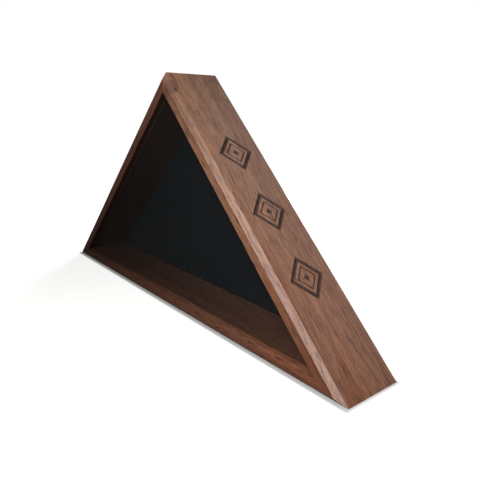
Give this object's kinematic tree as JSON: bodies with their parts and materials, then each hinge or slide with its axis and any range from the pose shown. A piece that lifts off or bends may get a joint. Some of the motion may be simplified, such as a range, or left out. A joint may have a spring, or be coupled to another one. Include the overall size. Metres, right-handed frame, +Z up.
{
  "type": "folded flag display case",
  "caption": "Triangular walnut shadow box with a glass front, black felt lining and a lift-out magnetic back, for showing a folded flag.",
  "frame": {"origin": "centre of the base board's underside, half way through the depth of the boards", "axes": "+X to the right along the base, +Y from the glass front to the back, +Z up towards the apex"},
  "size_m": [0.66, 0.095, 0.33],
  "materials": {
    "walnut": "satin oiled walnut",
    "tongue_ply": "raw birch",
    "clear_glass": "polished",
    "black_felt": "matt wool felt",
    "panel_board": "stained hardboard",
    "nickel": "nickel plate",
    "zinc_steel": "zinc plate",
    "tab_brass": "satin",
    "tab_leather": "waxed",
    "black_rubber": "matt"
  },
  "bodies": {
    "case_frame": {"left_side_board": "walnut", "right_side_board": "walnut", "base_board": "walnut", "apex_tongue": "tongue_ply", "left_corner_tongue": "tongue_ply", "right_corner_tongue": "tongue_ply", "front_glass": "clear_glass", "glass_setting_blocks": "black_rubber", "frame_magnets": "nickel", "left_hanger_strap": "zinc_steel", "right_hanger_strap": "zinc_steel", "hanger_screws": "zinc_steel", "wall_bumpers": "black_rubber"},
    "back_cover": {"back_panel": "panel_board", "back_felt": "black_felt", "panel_discs": "zinc_steel", "pull_tab": "tab_leather", "pull_tab_washer": "tab_brass", "pull_tab_screw": "tab_brass"},
    "left_ring": {"left_hanger_ring": "zinc_steel"},
    "right_ring": {"right_hanger_ring": "zinc_steel"}
  },
  "joints": [
    {"name": "back_cover_slide", "type": "slide", "parent": "case_frame", "child": "back_cover", "axis": [0, 1, 0], "range_m": [0, 0.06]},
    {"name": "left_ring_hinge", "type": "hinge", "parent": "case_frame", "child": "left_ring", "pos_m": [-0.10059, 0.04675, 0.21845], "axis": [0.7071, 0, -0.7071], "range_deg": [0, 180]},
    {"name": "right_ring_hinge", "type": "hinge", "parent": "case_frame", "child": "right_ring", "pos_m": [0.10059, 0.04675, 0.21845], "axis": [0.7071, 0, 0.7071], "range_deg": [0, 180]}
  ]
}
